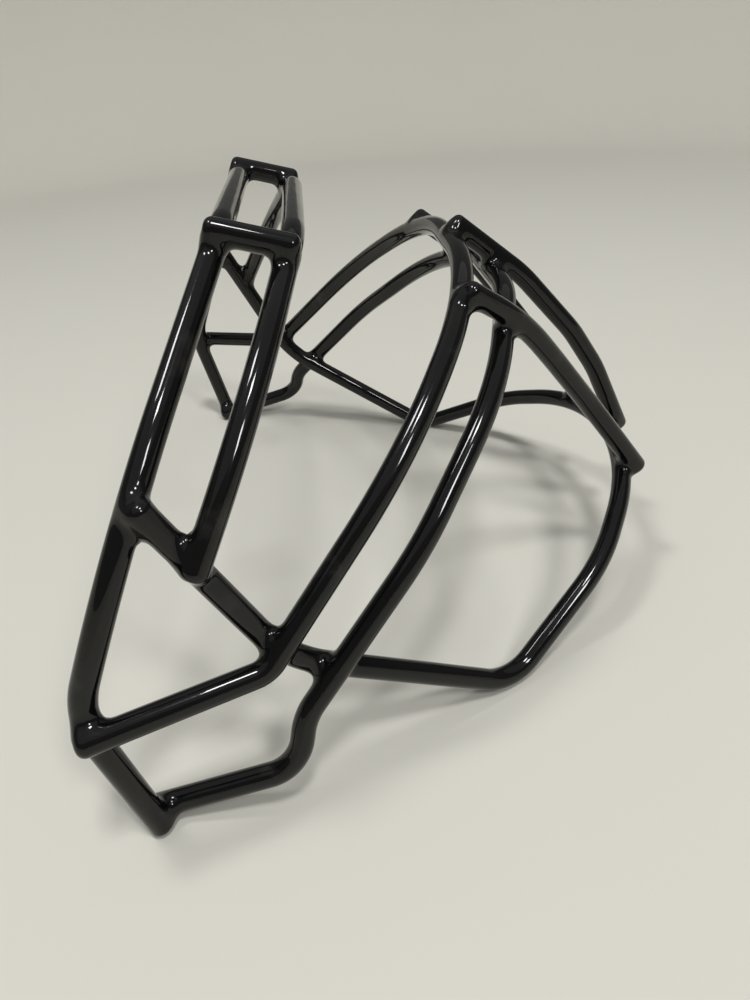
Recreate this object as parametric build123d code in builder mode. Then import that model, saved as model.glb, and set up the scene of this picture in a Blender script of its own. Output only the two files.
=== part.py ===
# Football helmet facemask: bent steel wires, welded where they cross and coated in gloss black plastic
# It lies on its back. X runs across the face (plus X is the wearer's right), Y runs from brow to chin,
# Z runs up from the table, out of the face. The origin is the middle of its base.
from build123d import *
from math import radians, tan
import os

os.makedirs("parts", exist_ok=True)

# Steel wire, its coat and the joints between wires
core_diameter = 6.0
coat_thickness = 0.45
weld_set_down = 1.0
end_rounding = 2.4
weld_bead_reach = 0.85
end_past_weld = 3.1
jaw_end_past_weld = 2.1
lower_bar_end_past_weld = 2.8
wearer_y = -14.5
wearer_z = 19.0

# Rim wire: over the brow, down past the temples and the ears, to a foot on each side
rim_brow_x = 44.5
rim_brow_y = -48.5
rim_brow_z = 138.0
rim_temple_x = 115.5
rim_temple_y = -73.0
rim_temple_z = 92.0
rim_ear_x = 126.0
rim_ear_y = -92.0
rim_ear_z = 49.0
rim_foot_x = 126.5
rim_foot_y = -82.5
rim_foot_z = 0.25
rim_bend_shares = ((0.28, 0.12), (0.40, 0.72), (0.21, 0.21))

# Jaw wire: from the temples down to a foot below each cheek, then round the chin
jaw_chin_x = 27.5
jaw_chin_y = 85.5
jaw_chin_z = 40.5
jaw_corner_x = 64.5
jaw_corner_y = 62.0
jaw_corner_z = 24.5
jaw_foot_x = 91.0
jaw_foot_y = 24.5
jaw_foot_z = 0.72
jaw_side_x = 108.5
jaw_side_y = -43.0
jaw_side_z = 42.0
jaw_bend_shares = ((0.97, 0.58), (0.27, 0.24), (0.21, 0.13), (0.16, 0.21))
jaw_on_rim_share = 0.7745

# Inner brow bar: behind the rim at the brow, with its ends on the jaw wire
brow_bar_x = 40.0
brow_bar_y = -29.6
brow_bar_z = 133.7
brow_bar_temple_x = 93.0
brow_bar_temple_y = -42.0
brow_bar_temple_z = 110.5
brow_bar_bend_shares = ((0.28, 0.14), (0.53, 0.71))
brow_bar_on_jaw_share = 0.962

# Crossbars: from the rim to the inner brow bar
crossbar_on_rim_share = 0.609
crossbar_on_brow_bar_share = 0.678

# Upper bar: over the mouth, welded to the jaw wire and to the rim below the ears
upper_bar_apex_x = 24.0
upper_bar_apex_y = 21.5
upper_bar_apex_z = 119.0
upper_bar_mid_x = 53.5
upper_bar_mid_y = 14.5
upper_bar_mid_z = 110.5
upper_bar_low_x = 88.5
upper_bar_low_y = -6.5
upper_bar_low_z = 88.5
upper_bar_bend_shares = ((0.90, 0.45), (0.50, 0.37), (0.55, 0.39), (0.05, 0.07))
upper_bar_side_reach = 5.5
upper_bar_on_jaw_share = 0.897
upper_bar_on_rim_share = 0.9

# Lower bar: under the upper bar, down to the rim's feet
lower_bar_apex_x = 21.5
lower_bar_apex_y = 36.0
lower_bar_apex_z = 107.5
lower_bar_mid_x = 63.5
lower_bar_mid_y = 24.0
lower_bar_mid_z = 94.0
lower_bar_low_x = 96.0
lower_bar_low_y = -4.0
lower_bar_low_z = 64.5
lower_bar_heel_x = 121.5
lower_bar_heel_y = -43.5
lower_bar_heel_z = 13.0
lower_bar_bend_shares = ((0.39, 0.19), (0.46, 0.41), (0.23, 0.22), (0.08, 0.30), (0.55, 0.19))
lower_bar_side_reach = 14.0
lower_bar_on_jaw_share = 0.861
lower_bar_on_rim_share = 0.992

# Chin posts: down the middle and on each side, over both bars to the jaw wire
post_end = 3.0
middle_post_straight = 10.5
middle_post_knee_y = 67.5
middle_post_knee_z = 82.5
middle_post_shin_y = 78.0
middle_post_shin_z = 67.0
middle_post_bend_shares = ((0.15, 0.17), (0.14, 0.22), (0.22, 0.13))
side_post_straight = 3.0
side_post_knee_y = 49.5
side_post_knee_z = 87.0
side_post_shin_y = 64.0
side_post_shin_z = 68.5
side_post_bend_shares = ((0.48, 0.57), (0.10, 0.10), (0.26, 0.16))
side_post_knee_share = 0.4
side_post_shin_share = 0.75
side_post_on_upper_share = 0.611
side_post_on_lower_share = 0.589
side_post_on_jaw_share = 0.554

core_radius = core_diameter / 2
coat_radius = core_radius + coat_thickness
weld_lap = core_diameter - weld_set_down
wearer = Vector(0, wearer_y, wearer_z)


# Corners of a wire that is the same on both sides, from its right-hand ones
def both_sides(corners):
    left = [Vector(-corner.X, corner.Y, corner.Z) for corner in reversed(corners)]
    return left + corners


# Radius of the bend at each inner corner: its arc takes these shares of the stretches before and after it
def bend_radii(corners, bend_shares):
    radii = []
    for before, corner, after, shares in zip(corners, corners[1:], corners[2:], bend_shares):
        to_before, to_after = before - corner, after - corner
        run = min(to_before.length * shares[0], to_after.length * shares[1])
        radii.append(run * tan(radians(to_before.get_angle(to_after)) / 2))
    return radii


# The line that a bent wire follows: straight stretches with a round bend at each inner corner
def bent_line(corners, bends):
    with BuildLine() as line:
        if bends:
            FilletPolyline(*corners, radius=bends)
        else:
            Line(*corners)
    return line.wire()


# A wire that laps another lies on the side away from the wearer, or on the near side, one lap off its axis
def seat(line, share, toward, side=1):
    point = line @ share
    outward = (line % share).cross(point - toward).normalized()
    if outward.dot(point - wearer) < 0:
        outward = -outward
    return point + outward * weld_lap * side


# The end of a wire, a little past the weld at its seat
def past(start, weld, reach):
    return weld + (weld - start).normalized() * reach


# Round rod along a wire's line, with its ends rounded, and held back by the given length
def rod(name, radius, held_back=0):
    first, *inner, last = corners[name]
    line = bent_line([past(inner[0] if inner else last, first, -held_back), *inner,
                      past(inner[-1] if inner else first, last, -held_back)], bends[name])
    with BuildPart() as made:
        with BuildSketch(Plane(origin=line @ 0, z_dir=line % 0)):
            Circle(radius)
        sweep(path=line)
        fillet(made.faces().filter_by(GeomType.PLANE).edges(), end_rounding - held_back)
    return made.part


corners = {}
bends = {}
lines = {}


# A wire that is the same on both sides: the stretch before its first corner starts in the middle
def bend_wire(name, right_corners, bend_shares):
    first = right_corners[0]
    right_bends = bend_radii([Vector(0, first.Y, first.Z)] + right_corners, bend_shares)
    corners[name] = both_sides(right_corners)
    bends[name] = right_bends[::-1] + right_bends
    lines[name] = bent_line(corners[name], bends[name])


# Rim wire
bend_wire("rim", [Vector(rim_brow_x, rim_brow_y, rim_brow_z),
                  Vector(rim_temple_x, rim_temple_y, rim_temple_z),
                  Vector(rim_ear_x, rim_ear_y, rim_ear_z),
                  Vector(rim_foot_x, rim_foot_y, rim_foot_z)],
          rim_bend_shares)

# Jaw wire
jaw_side = Vector(jaw_side_x, jaw_side_y, jaw_side_z)
jaw_seat = seat(lines["rim"], jaw_on_rim_share, jaw_side)
bend_wire("jaw_wire", [Vector(jaw_chin_x, jaw_chin_y, jaw_chin_z),
                       Vector(jaw_corner_x, jaw_corner_y, jaw_corner_z),
                       Vector(jaw_foot_x, jaw_foot_y, jaw_foot_z),
                       jaw_side,
                       past(jaw_side, jaw_seat, jaw_end_past_weld)],
          jaw_bend_shares)

# Inner brow bar
brow_bar_temple = Vector(brow_bar_temple_x, brow_bar_temple_y, brow_bar_temple_z)
brow_bar_seat = seat(lines["jaw_wire"], brow_bar_on_jaw_share, brow_bar_temple)
bend_wire("inner_brow_bar", [Vector(brow_bar_x, brow_bar_y, brow_bar_z),
                             brow_bar_temple,
                             past(brow_bar_temple, brow_bar_seat, end_past_weld)],
          brow_bar_bend_shares)

# Upper bar
upper_bar_low = Vector(upper_bar_low_x, upper_bar_low_y, upper_bar_low_z)
upper_bar_jaw_seat = seat(lines["jaw_wire"], upper_bar_on_jaw_share, upper_bar_low)
upper_bar_side = past(upper_bar_low, upper_bar_jaw_seat, upper_bar_side_reach)
upper_bar_rim_seat = seat(lines["rim"], upper_bar_on_rim_share, upper_bar_side)
bend_wire("upper_bar", [Vector(upper_bar_apex_x, upper_bar_apex_y, upper_bar_apex_z),
                        Vector(upper_bar_mid_x, upper_bar_mid_y, upper_bar_mid_z),
                        upper_bar_low,
                        upper_bar_side,
                        past(upper_bar_side, upper_bar_rim_seat, end_past_weld)],
          upper_bar_bend_shares)

# Lower bar
lower_bar_low = Vector(lower_bar_low_x, lower_bar_low_y, lower_bar_low_z)
lower_bar_heel = Vector(lower_bar_heel_x, lower_bar_heel_y, lower_bar_heel_z)
lower_bar_jaw_seat = seat(lines["jaw_wire"], lower_bar_on_jaw_share, lower_bar_low)
lower_bar_side = past(lower_bar_low, lower_bar_jaw_seat, lower_bar_side_reach)
lower_bar_rim_seat = seat(lines["rim"], lower_bar_on_rim_share, lower_bar_heel, -1)
bend_wire("lower_bar", [Vector(lower_bar_apex_x, lower_bar_apex_y, lower_bar_apex_z),
                        Vector(lower_bar_mid_x, lower_bar_mid_y, lower_bar_mid_z),
                        lower_bar_low,
                        lower_bar_side,
                        lower_bar_heel,
                        past(lower_bar_heel, lower_bar_rim_seat, lower_bar_end_past_weld)],
          lower_bar_bend_shares)


def straight_wire(name, start, end):
    corners[name] = [start, end]
    bends[name] = []
    lines[name] = bent_line(corners[name], bends[name])


# Crossbars, one on each side of the middle
for side, word in ((1, "right"), (-1, "left")):
    rim_share = 0.5 + side * (crossbar_on_rim_share - 0.5)
    bar_share = 0.5 + side * (crossbar_on_brow_bar_share - 0.5)
    top = seat(lines["rim"], rim_share, lines["inner_brow_bar"] @ bar_share)
    foot = seat(lines["inner_brow_bar"], bar_share, lines["rim"] @ rim_share)
    straight_wire("crossbar_" + word, past(foot, top, end_past_weld), past(top, foot, end_past_weld))


# Chin post: straight over both bars, then bent inward and down to the jaw wire
def chin_post(name, side, upper_share, lower_share, jaw_share, straight, knee, shin, bend_shares):
    upper_share, lower_share, jaw_share = (0.5 + side * (share - 0.5)
                                           for share in (upper_share, lower_share, jaw_share))
    top = seat(lines["upper_bar"], upper_share, lines["lower_bar"] @ lower_share)
    low = seat(lines["lower_bar"], lower_share, lines["upper_bar"] @ upper_share)
    hip = past(top, low, straight)
    jaw_x = (lines["jaw_wire"] @ jaw_share).X
    knee = Vector(hip.X + (jaw_x - hip.X) * side_post_knee_share, *knee)
    shin = Vector(hip.X + (jaw_x - hip.X) * side_post_shin_share, *shin)
    foot = seat(lines["jaw_wire"], jaw_share, shin)
    corners[name] = [past(low, top, post_end), hip, knee, shin, past(shin, foot, post_end)]
    bends[name] = bend_radii(corners[name], bend_shares)
    lines[name] = bent_line(corners[name], bends[name])


chin_post("post_middle", 0, 0.5, 0.5, 0.5, middle_post_straight,
          (middle_post_knee_y, middle_post_knee_z), (middle_post_shin_y, middle_post_shin_z),
          middle_post_bend_shares)
for side, word in ((1, "right"), (-1, "left")):
    chin_post("post_" + word, side, side_post_on_upper_share, side_post_on_lower_share,
              side_post_on_jaw_share, side_post_straight, (side_post_knee_y, side_post_knee_z),
              (side_post_shin_y, side_post_shin_z), side_post_bend_shares)


# Each wire and the wires that it is laid over, with the share of that wire's length where they cross,
# in the middle or on the right
laid_over = {
    "rim": {},
    "jaw_wire": {"rim": jaw_on_rim_share},
    "inner_brow_bar": {"jaw_wire": brow_bar_on_jaw_share},
    "crossbar_right": {"rim": crossbar_on_rim_share, "inner_brow_bar": crossbar_on_brow_bar_share},
    "crossbar_left": {"rim": 1 - crossbar_on_rim_share, "inner_brow_bar": 1 - crossbar_on_brow_bar_share},
    "upper_bar": {"jaw_wire": upper_bar_on_jaw_share, "rim": upper_bar_on_rim_share},
    "lower_bar": {"jaw_wire": lower_bar_on_jaw_share, "rim": lower_bar_on_rim_share},
    "post_middle": {"upper_bar": 0.5, "lower_bar": 0.5, "jaw_wire": 0.5},
    "post_right": {"upper_bar": side_post_on_upper_share, "lower_bar": side_post_on_lower_share,
                   "jaw_wire": side_post_on_jaw_share},
    "post_left": {"upper_bar": 1 - side_post_on_upper_share, "lower_bar": 1 - side_post_on_lower_share,
                  "jaw_wire": 1 - side_post_on_jaw_share},
}

steel = {name: rod(name, core_radius, coat_thickness) for name in corners}
coated = {name: rod(name, coat_radius) for name in corners}


def save(node, part):
    part.label = node
    export_step(part, "parts/" + node + ".step")
    print(node, "solids", len(part.solids()), "volume", round(part.volume, 1), "sound", part.is_valid)


# The same piece on the wearer's left
def save_left(node, right_part):
    with BuildPart() as left:
        mirror(right_part, about=Plane.YZ)
    save(node, left.part)


# Steel core: butts on the cores of the wires under it
def make_core(name):
    with BuildPart() as core:
        add(steel[name])
        for under in laid_over[name]:
            add(steel[under], mode=Mode.SUBTRACT)
    save(name + "_core", core.part)
    return core.part


# Coat: open for the cores of the wires welded over it, and ends on the coat of the wires under it
def make_coat(name):
    with BuildPart() as coat:
        add(coated[name])
        add(steel[name], mode=Mode.SUBTRACT)
        for under in laid_over[name]:
            add(coated[under], mode=Mode.SUBTRACT)
        for over in laid_over:
            if name in laid_over[over]:
                add(steel[over], mode=Mode.SUBTRACT)
    save(name + "_coat", coat.part)
    return coat.part


# Coated weld bead: fills the corners between two wires where they cross. It is a ball halfway between
# the wires, with its poles inside their coats.
def make_weld(node, over, under, share):
    under_point = lines[under] @ share
    over_point = lines[over].distance_to_with_closest_points(under_point)[1]
    with BuildPart() as weld:
        with Locations(Plane(origin=(under_point + over_point) / 2, z_dir=over_point - under_point)):
            Sphere(coat_radius + weld_bead_reach)
        add(coated[over], mode=Mode.SUBTRACT)
        add(coated[under], mode=Mode.SUBTRACT)
    save(node, weld.part)
    return weld.part


for name in corners:
    if name.endswith("_left"):
        continue
    core = make_core(name)
    coat = make_coat(name)
    if name.endswith("_right"):
        save_left(name.replace("_right", "_left") + "_core", core)
        save_left(name.replace("_right", "_left") + "_coat", coat)

for over, crossings in laid_over.items():
    for under, share in crossings.items():
        if over.endswith("_left"):
            continue
        node = "weld_" + over.replace("_right", "") + "_on_" + under
        if over == "post_middle":
            make_weld(node, over, under, share)
        else:
            weld = make_weld(node + "_right", over, under, share)
            save_left(node + "_left", weld)

bounds = Compound(children=list(coated.values())).bounding_box()
print("overall size", bounds.size, "from", bounds.min, "to", bounds.max)
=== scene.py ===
# %% [markdown]
# A football facemask is a cage of bent steel wires. The wires are laid over each other, welded where they
# cross, and then dipped in molten black plastic, so that one smooth glossy skin runs over wires and welds.
# The steel is a CAD part. What the eye sees is the skin, so this script makes the skin as a smooth surface.

import bpy
import numpy as np
from mathutils import Matrix, Vector


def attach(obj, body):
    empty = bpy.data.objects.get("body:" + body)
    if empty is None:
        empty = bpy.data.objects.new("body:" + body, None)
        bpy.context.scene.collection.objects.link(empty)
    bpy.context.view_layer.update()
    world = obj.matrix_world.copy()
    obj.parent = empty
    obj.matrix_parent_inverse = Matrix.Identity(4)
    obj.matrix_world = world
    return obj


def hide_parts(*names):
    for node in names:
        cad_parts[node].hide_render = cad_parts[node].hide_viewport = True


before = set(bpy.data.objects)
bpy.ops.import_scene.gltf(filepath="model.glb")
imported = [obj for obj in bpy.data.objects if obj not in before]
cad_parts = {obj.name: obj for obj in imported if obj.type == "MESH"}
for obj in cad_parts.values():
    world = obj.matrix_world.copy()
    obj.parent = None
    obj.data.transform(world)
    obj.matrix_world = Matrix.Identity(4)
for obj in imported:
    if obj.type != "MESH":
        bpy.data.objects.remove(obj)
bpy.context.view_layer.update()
MM = 0.001
print("CAD nodes:", len(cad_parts))

# %% [markdown]
# Each wire is bent from straight wire, so its line is a chain of straight stretches with a round bend at
# each corner. A soft spline through a few points would be quicker to draw, but it is never quite straight
# between the bends, and the long highlights would show that. The corners below are the same that the steel
# has, in millimetres. X runs towards the wearer's right, Y from the brow to the chin and Z up. Only the
# right half is written down, because the left half mirrors it. Each bend takes a share of the straight
# stretch before its corner, or of the one after it, whichever is shorter, and that run gives its radius.

# %% Sizes of the wire and its coat
COAT_RADIUS = 3.45
WELD_LAP = 5.0
END_ROUNDING = 2.4
STEP = 0.6
WEARER = np.array([0.0, -14.5, 19.0])
print("wire with its coat:", 2 * COAT_RADIUS, "mm")


def along(start, weld, reach):
    """The point a given reach past the weld, on the straight line from start through the weld."""
    way = weld - start
    return weld + way / np.linalg.norm(way) * reach


def both_sides(right_half):
    """Right half of a wire's corners, with their mirror images before them."""
    right_half = np.array(right_half, float)
    return np.vstack([(right_half * [-1, 1, 1])[::-1], right_half])


# %% [markdown]
# A bend is an arc that touches both straight stretches. With the corner at C, the unit directions a and b
# to the corners before and after, and the angle A between them, an arc that starts at the distance t from C
# has the radius R = t * tan(A / 2). Its centre lies on the halving line, at R / sin(A / 2) from C. The arc
# is swept with sines and cosines of an angle, so its points are exact.

# %% From corners to an even chain of points
LEAST_BEND_POINTS = 6


def bend_runs(corners, shares):
    """Distance from each inner corner to where its bend starts."""
    long = np.linalg.norm(np.diff(np.asarray(corners, float), axis=0), axis=1)
    return np.minimum(long[:-1] * np.array(shares)[:, 0], long[1:] * np.array(shares)[:, 1])


def wire_line(corners, runs):
    """Straight stretches with an arc in each bend: p(u) = centre + R (cos u * e1 + sin u * e2)."""
    corners = np.asarray(corners, float)
    chain = [corners[:1]]
    for corner, before, after, run in zip(corners[1:-1], corners[:-2], corners[2:], runs):
        a = (before - corner) / np.linalg.norm(before - corner)
        b = (after - corner) / np.linalg.norm(after - corner)
        half = np.arccos(np.clip(a @ b, -1, 1)) / 2
        radius = run * np.tan(half)
        halving = (a + b) / np.linalg.norm(a + b)
        centre = corner + halving * radius / np.sin(half)
        first = corner + a * run
        e1 = (first - centre) / radius
        e2 = -a - (-a @ e1) * e1
        e2 = e2 / np.linalg.norm(e2)
        turn = np.pi - 2 * half
        u = np.linspace(0, turn, max(LEAST_BEND_POINTS, int(radius * turn / STEP)))[:, None]
        chain.append(centre + radius * (np.cos(u) * e1 + np.sin(u) * e2))
    chain.append(corners[-1:])
    return np.vstack(chain)


def length_along(line):
    """Distance from the line's start to each of its points."""
    return np.concatenate([[0.0], np.cumsum(np.linalg.norm(np.diff(line, axis=0), axis=1))])


def point_at(line, share):
    """Point and direction at a share of the line's length."""
    s = length_along(line)
    place = share * s[-1]
    i = min(np.searchsorted(s, place, side="right") - 1, len(line) - 2)
    way = (line[i + 1] - line[i]) / (s[i + 1] - s[i])
    return line[i] + way * (place - s[i]), way


def seat(line, share, toward, side=1):
    """Axis of a wire laid over another: off its axis by the lap, square to both, away from the wearer."""
    point, way = point_at(line, share)
    outward = np.cross(way, point - toward)
    outward = outward / np.linalg.norm(outward)
    if outward @ (point - WEARER) < 0:
        outward = -outward
    return point + outward * WELD_LAP * side


# %% The five long wires
lines = {}


def bend_wire(name, right_half, shares):
    """One wire over both sides: the stretch before its first corner starts in the middle."""
    runs = bend_runs([right_half[0] * np.array([0, 1, 1])] + right_half, shares)
    lines[name] = wire_line(both_sides(right_half), np.concatenate([runs[::-1], runs]))


bend_wire("rim", [(44.5, -48.5, 138.0), (115.5, -73.0, 92.0), (126.0, -92.0, 49.0), (126.5, -82.5, 0.25)],
          [(0.28, 0.12), (0.40, 0.72), (0.21, 0.21)])

jaw_side = np.array([108.5, -43.0, 42.0])
jaw_weld = seat(lines["rim"], 0.7745, jaw_side)
bend_wire("jaw_wire", [(27.5, 85.5, 40.5), (64.5, 62.0, 24.5), (91.0, 24.5, 0.72), jaw_side,
                       along(jaw_side, jaw_weld, 2.1)],
          [(0.97, 0.58), (0.27, 0.24), (0.21, 0.13), (0.16, 0.21)])

brow_bar_temple = np.array([93.0, -42.0, 110.5])
brow_bar_weld = seat(lines["jaw_wire"], 0.962, brow_bar_temple)
bend_wire("inner_brow_bar",
          [(40.0, -29.6, 133.7), brow_bar_temple, along(brow_bar_temple, brow_bar_weld, 3.1)],
          [(0.28, 0.14), (0.53, 0.71)])

upper_low = np.array([88.5, -6.5, 88.5])
upper_side = along(upper_low, seat(lines["jaw_wire"], 0.897, upper_low), 5.5)
bend_wire("upper_bar", [(24.0, 21.5, 119.0), (53.5, 14.5, 110.5), upper_low, upper_side,
                        along(upper_side, seat(lines["rim"], 0.9, upper_side), 3.1)],
          [(0.90, 0.45), (0.50, 0.37), (0.55, 0.39), (0.05, 0.07)])

lower_low = np.array([96.0, -4.0, 64.5])
lower_side = along(lower_low, seat(lines["jaw_wire"], 0.861, lower_low), 14.0)
lower_heel = np.array([121.5, -43.5, 13.0])
bend_wire("lower_bar", [(21.5, 36.0, 107.5), (63.5, 24.0, 94.0), lower_low, lower_side, lower_heel,
                        along(lower_heel, seat(lines["rim"], 0.992, lower_heel, -1), 2.8)],
          [(0.39, 0.19), (0.46, 0.41), (0.23, 0.22), (0.08, 0.30), (0.55, 0.19)])
print("long wires:", list(lines))

# %% [markdown]
# Two short straight crossbars join the rim to the inner brow bar, and three posts guard the chin. Their
# corners could be typed in too, but each of them is held by the wires that it is welded to. So each end is
# worked out at a share of the length of those wires, and it follows them when they change.

# %% The crossbars and the chin posts
CROSSBAR_ON_RIM, CROSSBAR_ON_BAR = 0.109, 0.178
CROSSBAR_END, CROSSBAR_POINTS = 3.1, 40
KNEE_REACH, SHIN_REACH = 0.4, 0.75
POST_END = 3.0


def crossbar(side):
    """Straight wire from the rim to the inner brow bar, a little past both welds."""
    rim_share, bar_share = 0.5 + side * CROSSBAR_ON_RIM, 0.5 + side * CROSSBAR_ON_BAR
    top = seat(lines["rim"], rim_share, point_at(lines["inner_brow_bar"], bar_share)[0])
    foot = seat(lines["inner_brow_bar"], bar_share, point_at(lines["rim"], rim_share)[0])
    ends = np.array([along(foot, top, CROSSBAR_END), along(top, foot, CROSSBAR_END)])
    return ends[0] + (ends[1] - ends[0]) * np.linspace(0, 1, CROSSBAR_POINTS)[:, None]


def chin_post(side, shares, straight, knee, shin, bend_shares):
    """Wire over the upper and lower bars, then bent inward and down to the jaw wire."""
    on_upper, on_lower, on_jaw = (0.5 + side * share for share in shares)
    upper_point = point_at(lines["upper_bar"], on_upper)[0]
    lower_point = point_at(lines["lower_bar"], on_lower)[0]
    top = seat(lines["upper_bar"], on_upper, lower_point)
    low = seat(lines["lower_bar"], on_lower, upper_point)
    hip = along(top, low, straight)
    reach = point_at(lines["jaw_wire"], on_jaw)[0][0] - hip[0]
    knee = np.array([hip[0] + reach * KNEE_REACH, *knee])
    shin = np.array([hip[0] + reach * SHIN_REACH, *shin])
    foot = seat(lines["jaw_wire"], on_jaw, shin)
    corners = [along(low, top, POST_END), hip, knee, shin, along(shin, foot, POST_END)]
    return wire_line(corners, bend_runs(corners, bend_shares))


lines["crossbar_right"], lines["crossbar_left"] = crossbar(1), crossbar(-1)
lines["post_middle"] = chin_post(0, (0, 0, 0), 10.5, (67.5, 82.5), (78.0, 67.0),
                                 [(0.15, 0.17), (0.14, 0.22), (0.22, 0.13)])
for side, word in ((1, "right"), (-1, "left")):
    lines["post_" + word] = chin_post(side, (0.111, 0.089, 0.054), 3.0, (49.5, 87.0), (64.0, 68.5),
                                      [(0.48, 0.57), (0.10, 0.10), (0.26, 0.16)])
for name, line in lines.items():
    print(f"{name}: {length_along(line)[-1]:.0f} mm of wire")

# %% [markdown]
# The skin of one bare wire is a round tube with softly rounded ends. A curve with a round bevel could make
# it, but the welds below need points that can be moved one by one. So it is a profile carried along the
# line: the profile gives the radius at each distance from the end, and a ring of points stands round the
# line at each distance. In the ring, the first direction points away from the wearer, so that nothing
# twists.

# %% The tube of one wire
AROUND = 48
CORNER_RINGS = 8
POLE_RING_SHARES = np.array([0.66, 0.33, 0.0])


def evenly(line, places):
    """Points and directions of a line at given distances from its start, also a little past its ends."""
    s = length_along(line)
    inside = np.clip(places, 0, s[-1])
    points = np.stack([np.interp(inside, s, line[:, i]) for i in range(3)], axis=1)
    ways = np.diff(line, axis=0) / np.diff(s)[:, None]
    middles = (s[1:] + s[:-1]) / 2
    ways = np.stack([np.interp(inside, middles, ways[:, i]) for i in range(3)], axis=1)
    ways /= np.linalg.norm(ways, axis=1)[:, None]
    return points + ways * (places - inside)[:, None], ways


def tube(line):
    """Rings and normals: p = c(s) + r(s) (cos v * e1 + sin v * e2), r shrinks on a quarter circle."""
    total = length_along(line)[-1]
    lean = np.linspace(0, np.pi / 2, CORNER_RINGS + 1)[1:]
    flat_radius = COAT_RADIUS - END_ROUNDING
    end_place = np.append(END_ROUNDING * np.sin(lean), [END_ROUNDING] * 3)
    end_radius = np.append(flat_radius + END_ROUNDING * np.cos(lean), POLE_RING_SHARES * flat_radius)
    end_lean = np.append(lean, [np.pi / 2] * 3)
    straight = np.linspace(END_ROUNDING, total - END_ROUNDING, int((total - 2 * END_ROUNDING) / STEP))
    places = np.concatenate([(END_ROUNDING - end_place)[::-1], straight, total - END_ROUNDING + end_place])
    radii = np.concatenate([end_radius[::-1], np.full(len(straight), COAT_RADIUS), end_radius])
    leans = np.concatenate([-end_lean[::-1], np.zeros(len(straight)), end_lean])
    centres, ways = evenly(line, places)
    e1 = centres - WEARER
    e1 -= (e1 * ways).sum(1)[:, None] * ways
    e1 /= np.linalg.norm(e1, axis=1)[:, None]
    e2 = np.cross(ways, e1)
    v = np.linspace(0, 2 * np.pi, AROUND, endpoint=False)[None, :, None]
    round_way = np.cos(v) * e1[:, None] + np.sin(v) * e2[:, None]
    points = centres[:, None] + radii[:, None, None] * round_way
    normals = np.cos(leans)[:, None, None] * round_way + np.sin(leans)[:, None, None] * ways[:, None]
    return points, normals


points, normals = tube(lines["rim"])
print("rings and points round each ring of the rim:", points.shape[:2])

# %% [markdown]
# Where two wires are welded, the plastic fills the corners between them. A Boolean union with a bevel tears
# where the wires meet at a flat angle, and remeshing rounds all of the wire alike. A smooth union gives the
# fillet alone. For any point, a is its distance from the skin of one wire and b from that of the other. The
# smaller of the two describes both wires with a sharp crease, and taking a little more off where a and b
# are alike rounds the crease:
# f = min(a, b) - h * h * k / 4, with h = (k - |a - b|) / k where that is above 0.
# Each skin point near a weld is brought from outside along its own normal until f is 0. The middle of the
# fillet is the curve where a = b = k / 4, and there each wire's skin dives under the other.

# %% Distance from a rounded wire
FILL = 4.0
NEAR_WELD = 18.0
PAST_END, CLOSE = 1.5, 2.5
TINY = 1e-9


def rod_distance(spots, line):
    """Signed distance from a round rod with rounded ends, and its direction: |max(q, 0)| - rounding."""
    total = length_along(line)[-1]
    first, last = line[0] - line[1], line[-1] - line[-2]
    first, last = first / np.linalg.norm(first), last / np.linalg.norm(last)
    reach = PAST_END * NEAR_WELD
    chain = np.vstack([line[0] + first * reach, line, line[-1] + last * reach])
    close = np.linalg.norm(chain - spots.mean(0), axis=1) < CLOSE * reach
    close[:-1] |= close[1:]
    close[1:] |= close[:-1]
    pair = close[:-1] & close[1:]
    start, end = chain[:-1][pair], chain[1:][pair]
    s_start = (length_along(chain) - reach)[:-1][pair]
    span = end - start
    long = np.linalg.norm(span, axis=1)
    keep = long > TINY
    start, span, long, s_start = start[keep], span[keep], long[keep], s_start[keep]
    share = np.clip(((spots[:, None] - start) * span).sum(2) / long ** 2, 0, 1)
    off = spots[:, None] - (start + share[..., None] * span)
    nearest = (off ** 2).sum(2).argmin(1)
    pick = np.arange(len(spots))
    off, place = off[pick, nearest], (s_start[nearest] + share[pick, nearest] * long[nearest])
    way = span[nearest] / long[nearest][:, None]
    out = np.linalg.norm(off, axis=1)
    sign = np.where(place > total / 2, 1.0, -1.0)
    sideways = out - (COAT_RADIUS - END_ROUNDING)
    endways = np.abs(place - total / 2) - total / 2 + END_ROUNDING
    q = np.stack([sideways, endways], axis=1)
    positive = np.maximum(q, 0)
    size = np.linalg.norm(positive, axis=1)
    distance = size + np.minimum(q.max(1), 0) - END_ROUNDING
    direction = positive[:, :1] * off / np.maximum(out, TINY)[:, None]
    direction += (positive[:, 1] * sign)[:, None] * way
    return distance, direction / np.maximum(size, TINY)[:, None]


def union(spots, own, other):
    """The smooth union f of two wires and its gradient."""
    a, a_way = rod_distance(spots, own)
    b, b_way = rod_distance(spots, other)
    h = np.maximum(FILL - np.abs(a - b), 0) / FILL
    share = np.where(a < b, 1 - h / 2, h / 2)[:, None]
    return np.minimum(a, b) - h * h * FILL / 4, share * a_way + (1 - share) * b_way, a, b


# %% [markdown]
# At each crossing one wire lies over the other, and there the two are welded. The list below says which
# wires are laid over which. The places are found from the lines, because 25 typed places would be wrong
# as soon as a wire is bent another way.

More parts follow.
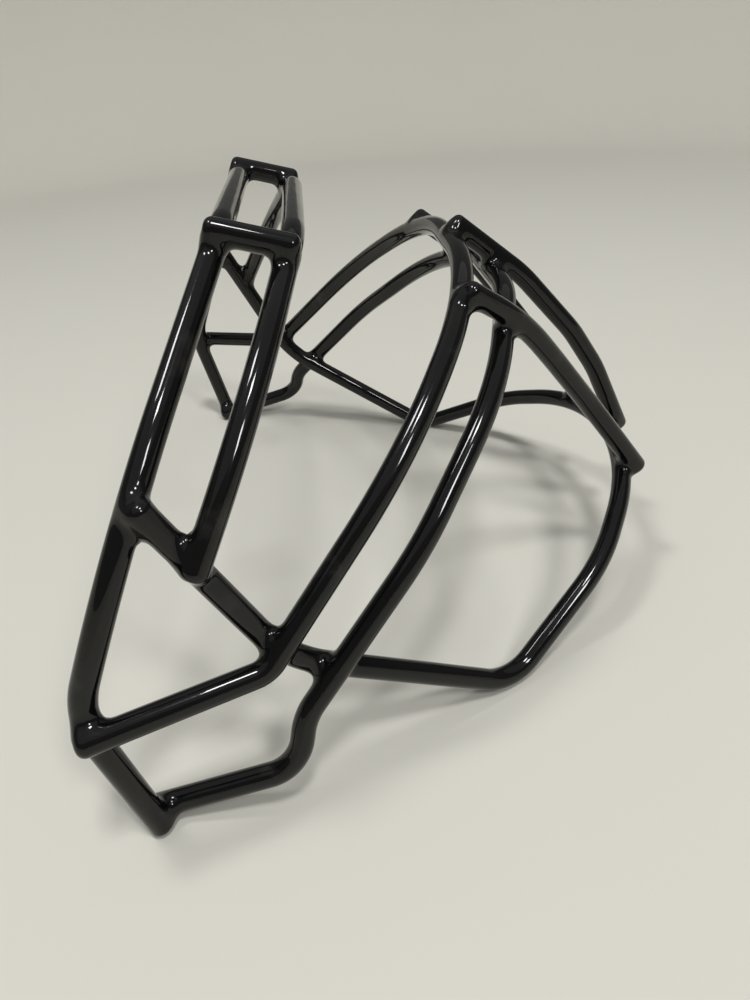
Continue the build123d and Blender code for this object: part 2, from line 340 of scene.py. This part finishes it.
# %% Which wire is laid over which
SAMPLE = 0.5
TOUCHING = WELD_LAP + 1.5
laid_over = {
    "jaw_wire": ["rim"], "inner_brow_bar": ["jaw_wire"],
    "crossbar_right": ["rim", "inner_brow_bar"], "crossbar_left": ["rim", "inner_brow_bar"],
    "upper_bar": ["jaw_wire", "rim"], "lower_bar": ["jaw_wire", "rim"],
    "post_middle": ["upper_bar", "lower_bar", "jaw_wire"],
    "post_right": ["upper_bar", "lower_bar", "jaw_wire"],
    "post_left": ["upper_bar", "lower_bar", "jaw_wire"],
}


def welds(own, other):
    """Middles of the places where two lines come within the lap of each other, one per cluster."""
    own, other = (evenly(line, np.arange(0, length_along(line)[-1], SAMPLE))[0] for line in (own, other))
    gaps = np.linalg.norm(own[:, None] - other[None], axis=2)
    near = np.argwhere(gaps < TOUCHING)
    found = []
    for i, j in near[np.argsort(gaps[tuple(near.T)])]:
        middle = (own[i] + other[j]) / 2
        if all(np.linalg.norm(middle - spot) > 2 * WELD_LAP for spot in found):
            found.append(middle)
    return found


joints = [(over, under, spot) for over, unders in laid_over.items() for under in unders
          for spot in welds(lines[over], lines[under])]
print("welds:", len(joints))

# %% [markdown]
# The skin of a wire is now worked out in three steps. Points near a weld are moved to the smooth union.
# Points that lie nearer to the other wire are hidden by that wire's skin and stay on the bare tube. The
# first ring of hidden points is drawn onto the crease curve, so that the two skins meet without a gap and
# each skin still closes round its whole wire.

# %% Fillets at the welds
WALK_STEPS, CAUTION = 40, 0.95
CREASE_STEPS, LEAST_SPREAD = 8, 0.05


def to_union(spots, outward, own, other):
    """Walks from outside along -outward by f at a time, until f = 0 (the distance is never overshot)."""
    depth = np.full(len(spots), FILL)
    for _ in range(WALK_STEPS):
        f = union(spots + outward * depth[:, None], own, other)[0]
        depth = np.maximum(depth - f * CAUTION, 0)
    return spots + outward * depth[:, None]


def to_crease(spots, own, other):
    """Newton steps of least length onto the curve where both distances are k / 4."""
    for _ in range(CREASE_STEPS):
        a, a_way = rod_distance(spots, own)
        b, b_way = rod_distance(spots, other)
        cross = (a_way * b_way).sum(1)
        scale = 1 / np.maximum(1 - cross ** 2, LEAST_SPREAD)
        a_gap, b_gap = a - FILL / 4, b - FILL / 4
        step = (((a_gap - cross * b_gap) * scale)[:, None] * a_way
                + ((b_gap - cross * a_gap) * scale)[:, None] * b_way)
        spots = spots - step
    return spots


def spread(mask):
    """The mask grown by one point in every direction, round the ring and along the line."""
    mask = mask | np.roll(mask, 1, 1) | np.roll(mask, -1, 1)
    grown = mask.copy()
    grown[1:] |= mask[:-1]
    grown[:-1] |= mask[1:]
    return grown


def skin(name):
    """Ring points and normals of a wire: on the union near a weld, and on the bare tube where hidden."""
    points, normals = tube(lines[name])
    bare, bare_normals = points.copy(), normals.copy()
    for over, under, middle in joints:
        if name not in (over, under):
            continue
        own, other = lines[name], lines[under if name == over else over]
        near = np.linalg.norm(bare - middle, axis=2) < NEAR_WELD
        to_other = rod_distance(bare[near], other)[0]
        near[near] = to_other < FILL
        inside = to_other[to_other < FILL] < 0
        points[near] = to_union(bare[near], bare_normals[near], own, other)
        _, way, a, b = union(points[near], own, other)
        normals[near] = way / np.linalg.norm(way, axis=1)[:, None]
        hidden = np.zeros_like(near)
        hidden[near] = (a > b) | inside
        points[hidden], normals[hidden] = bare[hidden], bare_normals[hidden]
        crease = hidden & spread(~hidden)
        points[crease] = to_crease(bare[crease], own, other)
        way = union(points[crease], own, other)[1]
        normals[crease] = way / np.linalg.norm(way, axis=1)[:, None]
    return points, normals


# %% From the grid of points to a mesh
def skin_object(name):
    """A grid of quads that closes round the wire, with a fan of triangles round a pole at each end."""
    points, normals = skin(name)
    rings, round_count = points.shape[:2]
    number = np.arange(rings * round_count).reshape(rings, round_count)
    beside = np.roll(number, -1, 1)
    quads = np.stack([number[1:-2], beside[1:-2], beside[2:-1], number[2:-1]], axis=-1).reshape(-1, 4)
    pole = np.full(round_count, number[0, 0]), np.full(round_count, number[-1, 0])
    fans = np.stack([np.concatenate([number[1], beside[-2]]), np.concatenate(pole),
                     np.concatenate([beside[1], number[-2]])], axis=-1)
    used, index = np.unique(np.concatenate([quads.ravel(), fans.ravel()]), return_inverse=True)
    faces = index[:quads.size].reshape(-1, 4).tolist() + index[quads.size:].reshape(-1, 3).tolist()
    mesh = bpy.data.meshes.new(name + "_skin")
    mesh.from_pydata(points.reshape(-1, 3)[used] * MM, [], faces)
    mesh.validate()
    mesh.polygons.foreach_set("use_smooth", np.ones(len(mesh.polygons), bool))
    mesh.normals_split_custom_set_from_vertices(normals.reshape(-1, 3)[used])
    mesh.update()
    piece = bpy.data.objects.new(name + "_skin", mesh)
    bpy.context.scene.collection.objects.link(piece)
    return piece


skins = {name: skin_object(name) for name in lines}
for name, piece in skins.items():
    print(piece.name, "faces:", len(piece.data.polygons))

# %% [markdown]
# The plastic is jet black and glossy. It is dipped, so its skin is not machined: it flows a little, which
# shows as a faint waviness in the highlights, and handling leaves the gloss slightly uneven. A picture of
# plastic could be wrapped round the wires, but it would show seams, and noise in the object's own
# coordinates has none. The shader is a black plastic with a clear gloss coat. Noise bends the normals a
# little, varies the roughness and dulls a few scuffed spots.

# %% Helpers for the finishes
def new_material(name):
    """Empty material with one shader, and what is needed to add more nodes to it."""
    material = bpy.data.materials.new(name)
    material.use_nodes = True
    nodes, links = material.node_tree.nodes, material.node_tree.links
    nodes.clear()
    output = nodes.new("ShaderNodeOutputMaterial")
    shader = nodes.new("ShaderNodeBsdfPrincipled")
    links.new(shader.outputs["BSDF"], output.inputs["Surface"])
    return material, nodes, links, shader


def noise(nodes, links, where, scale, detail):
    """Noise texture on the object's own coordinates."""
    texture = nodes.new("ShaderNodeTexNoise")
    texture.inputs["Scale"].default_value = scale
    texture.inputs["Detail"].default_value = detail
    links.new(where.outputs["Object"], texture.inputs["Vector"])
    return texture


def map_range(nodes, links, value, low, high, start=0.3, stop=0.7):
    """Stretches the values from start to stop over low to high."""
    ramp = nodes.new("ShaderNodeMapRange")
    ramp.inputs["From Min"].default_value = start
    ramp.inputs["From Max"].default_value = stop
    ramp.inputs["To Min"].default_value = low
    ramp.inputs["To Max"].default_value = high
    links.new(value, ramp.inputs["Value"])
    return ramp.outputs["Result"]


# %% The coat's finish
black, nodes, links, shader = new_material("dipped_black_coat")
where = nodes.new("ShaderNodeTexCoord")
shader.inputs["IOR"].default_value = 1.5
shader.inputs["Specular IOR Level"].default_value = 0.05
shader.inputs["Coat Weight"].default_value = 0.65
shader.inputs["Coat IOR"].default_value = 1.5
tone = nodes.new("ShaderNodeMix")
tone.data_type = "RGBA"
tone.inputs["A"].default_value = (0.0020, 0.0020, 0.0021, 1)
tone.inputs["B"].default_value = (0.0048, 0.0047, 0.0048, 1)
links.new(noise(nodes, links, where, 35, 4).outputs["Fac"], tone.inputs["Factor"])
scuffs = map_range(nodes, links, noise(nodes, links, where, 48, 8).outputs["Fac"], 0, 1, 0.64, 0.72)
worn = nodes.new("ShaderNodeMix")
worn.data_type = "RGBA"
worn.inputs["B"].default_value = (0.016, 0.0155, 0.015, 1)
links.new(scuffs, worn.inputs["Factor"])
links.new(tone.outputs["Result"], worn.inputs["A"])
links.new(worn.outputs["Result"], shader.inputs["Base Color"])
links.new(map_range(nodes, links, noise(nodes, links, where, 60, 5).outputs["Fac"], 0.12, 0.22),
          shader.inputs["Roughness"])
links.new(map_range(nodes, links, scuffs, 0.02, 0.14, 0, 1), shader.inputs["Coat Roughness"])
wave = nodes.new("ShaderNodeBump")
wave.inputs["Strength"].default_value = 0.25
wave.inputs["Distance"].default_value = 0.00025
links.new(noise(nodes, links, where, 110, 2).outputs["Fac"], wave.inputs["Height"])
links.new(wave.outputs["Normal"], shader.inputs["Normal"])
links.new(wave.outputs["Normal"], shader.inputs["Coat Normal"])
print("coat's finish:", black.name, len(nodes), "nodes")

# %% [markdown]
# The steel inside is drawn wire, which is bright where the die has rubbed it and duller beside. One grey
# would do for what can't be seen, but the wire is seen where someone hides the coat. So noise mixes two
# greys and varies the roughness.

# %% The steel's finish
steel, nodes, links, shader = new_material("drawn_steel_wire")
where = nodes.new("ShaderNodeTexCoord")
shader.inputs["Metallic"].default_value = 1.0
tone = nodes.new("ShaderNodeMix")
tone.data_type = "RGBA"
tone.inputs["A"].default_value = (0.32, 0.31, 0.30, 1)
tone.inputs["B"].default_value = (0.48, 0.47, 0.46, 1)
links.new(noise(nodes, links, where, 250, 6).outputs["Fac"], tone.inputs["Factor"])
links.new(tone.outputs["Result"], shader.inputs["Base Color"])
links.new(map_range(nodes, links, noise(nodes, links, where, 400, 4).outputs["Fac"], 0.28, 0.5),
          shader.inputs["Roughness"])
print("steel's finish:", steel.name, len(nodes), "nodes")

# %% [markdown]
# Each skin rides on the one rigid body. It stands for the coat of its wire, and for the weld beads where
# this wire is laid over another. The steel wires inside stay, with their own finish.

# %% Dress the frame
for name, piece in skins.items():
    piece.data.materials.append(black)
    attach(piece, "root")
    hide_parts(name + "_coat")
for node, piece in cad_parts.items():
    finish = steel if node.endswith("_core") else black
    piece.data.materials.clear()
    piece.data.materials.append(finish)
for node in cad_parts:
    if node.startswith("weld_"):
        side = "_right" if node.endswith("_right") else "_left" if node.endswith("_left") else ""
        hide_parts(node)
print("skins:", len(skins), "steel wires:", sum(node.endswith("_core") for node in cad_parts))

# %% [markdown]
# The cage lies on its back on a pale table in soft room light. A black gloss shows little of itself and
# much of its room. So a wide soft lamp overhead gives the grey sheen on what faces up, and three smaller
# lamps draw the thin bright lines along the wires. The rest of the room is dim, so that the black wires
# stay black. The round table turns up into a low wall at its edge, to be seen from every side.

# %% Table and backdrop
BEND_POINTS, TURN_POINTS = 24, 180
MIDDLE_RADIUS = 0.02


def round_table(radius, rise, bend):
    """Flat disc that turns up into a low wall: a profile of distance and height, turned about Z."""
    lean = np.linspace(0, np.pi / 2, BEND_POINTS)
    out = np.concatenate([[MIDDLE_RADIUS], radius - bend + bend * np.sin(lean), [radius]])[:, None]
    height = np.concatenate([[0.0], bend - bend * np.cos(lean), [rise]])[:, None]
    v = np.linspace(0, 2 * np.pi, TURN_POINTS, endpoint=False)
    grid = np.stack([out * np.cos(v), out * np.sin(v), height + 0 * v], axis=-1)
    number = np.arange(grid.shape[0] * TURN_POINTS).reshape(-1, TURN_POINTS)
    beside = np.roll(number, -1, 1)
    faces = np.stack([number[:-1], number[1:], beside[1:], beside[:-1]], axis=-1).reshape(-1, 4)
    mesh = bpy.data.meshes.new("table")
    mesh.from_pydata(grid.reshape(-1, 3).tolist(), [], [number[0].tolist()] + faces.tolist())
    mesh.polygons.foreach_set("use_smooth", np.ones(len(mesh.polygons), bool))
    table = bpy.data.objects.new("table", mesh)
    bpy.context.scene.collection.objects.link(table)
    return table


table = round_table(radius=1.25, rise=0.28, bend=0.25)
pale, nodes, links, shader = new_material("pale_table")
where = nodes.new("ShaderNodeTexCoord")
tone = nodes.new("ShaderNodeMix")
tone.data_type = "RGBA"
tone.inputs["A"].default_value = (0.685, 0.672, 0.600, 1)
tone.inputs["B"].default_value = (0.725, 0.712, 0.640, 1)
links.new(noise(nodes, links, where, 3, 3).outputs["Fac"], tone.inputs["Factor"])
links.new(tone.outputs["Result"], shader.inputs["Base Color"])
shader.inputs["Roughness"].default_value = 0.85
table.data.materials.append(pale)
print("table faces:", len(table.data.polygons))


# %% Lamps and room
def lamp(name, place, aim, width, height, watts):
    """Rectangular lamp at a place in metres, turned to face the point it is aimed at."""
    light = bpy.data.lights.new(name, "AREA")
    light.shape = "RECTANGLE"
    light.size, light.size_y = width, height
    light.energy = watts
    item = bpy.data.objects.new(name, light)
    item.location = place
    item.rotation_euler = (Vector(aim) - Vector(place)).to_track_quat("-Z", "Y").to_euler()
    bpy.context.scene.collection.objects.link(item)


CAGE = (0, 0, 0.05)
lamp("ceiling_softbox", place=(-0.2, 0, 1.8), aim=(-0.2, 0, 0), width=3.6, height=3.6, watts=10)
lamp("ceiling_lamp", place=(0.43, 0.14, 1.6), aim=CAGE, width=0.24, height=0.24, watts=8.2)
lamp("window", place=(0.91, 0.51, 1.21), aim=CAGE, width=0.18, height=0.34, watts=6)
lamp("far_lamp", place=(-0.08, -0.54, 1.5), aim=CAGE, width=0.25, height=0.25, watts=5.5)
world = bpy.data.worlds.new("room")
world.use_nodes = True
world.node_tree.nodes["Background"].inputs["Color"].default_value = (0.80, 0.79, 0.76, 1)
world.node_tree.nodes["Background"].inputs["Strength"].default_value = 0.16
bpy.context.scene.world = world

# %% [markdown]
# The photograph was taken from the wearer's right, near to the cage and a little above it. The lens is as
# wide as a 24 mm lens on 35 mm film: its focal length is 693 of the picture's 750 pixels across. Seen
# through a longer lens from further off, the near side would not look so much larger than the far one.

# %% Camera
PICTURE_WIDTH = 750
FOCAL_PIXELS = 693
EYE = np.array([240.2, -24.0, 180.1])
TURN, DOWN, TILT = 3.32, 34.33, -4.26

turn, down, tilt = np.radians([TURN, DOWN, TILT])
forward = np.array([-np.cos(down) * np.cos(turn), np.cos(down) * np.sin(turn), -np.sin(down)])
right = np.cross(forward, [0, 0, 1])
right /= np.linalg.norm(right)
up = np.cross(right, forward)
across = right * np.cos(tilt) + up * np.sin(tilt)
upward = -right * np.sin(tilt) + up * np.cos(tilt)
lens = bpy.data.cameras.new("photo_camera")
lens.sensor_fit = "HORIZONTAL"
lens.sensor_width = 36
lens.lens = FOCAL_PIXELS / PICTURE_WIDTH * lens.sensor_width
lens.clip_start = 0.01
camera = bpy.data.objects.new("photo_camera", lens)
bpy.context.scene.collection.objects.link(camera)
axes = np.stack([across, upward, -forward], axis=1)
camera.matrix_world = Matrix([[*row, place] for row, place in zip(axes, EYE * MM)] + [[0, 0, 0, 1]])
bpy.context.scene.camera = camera
bpy.context.scene.view_settings.view_transform = "Standard"
print("camera at", [round(v, 3) for v in camera.location])
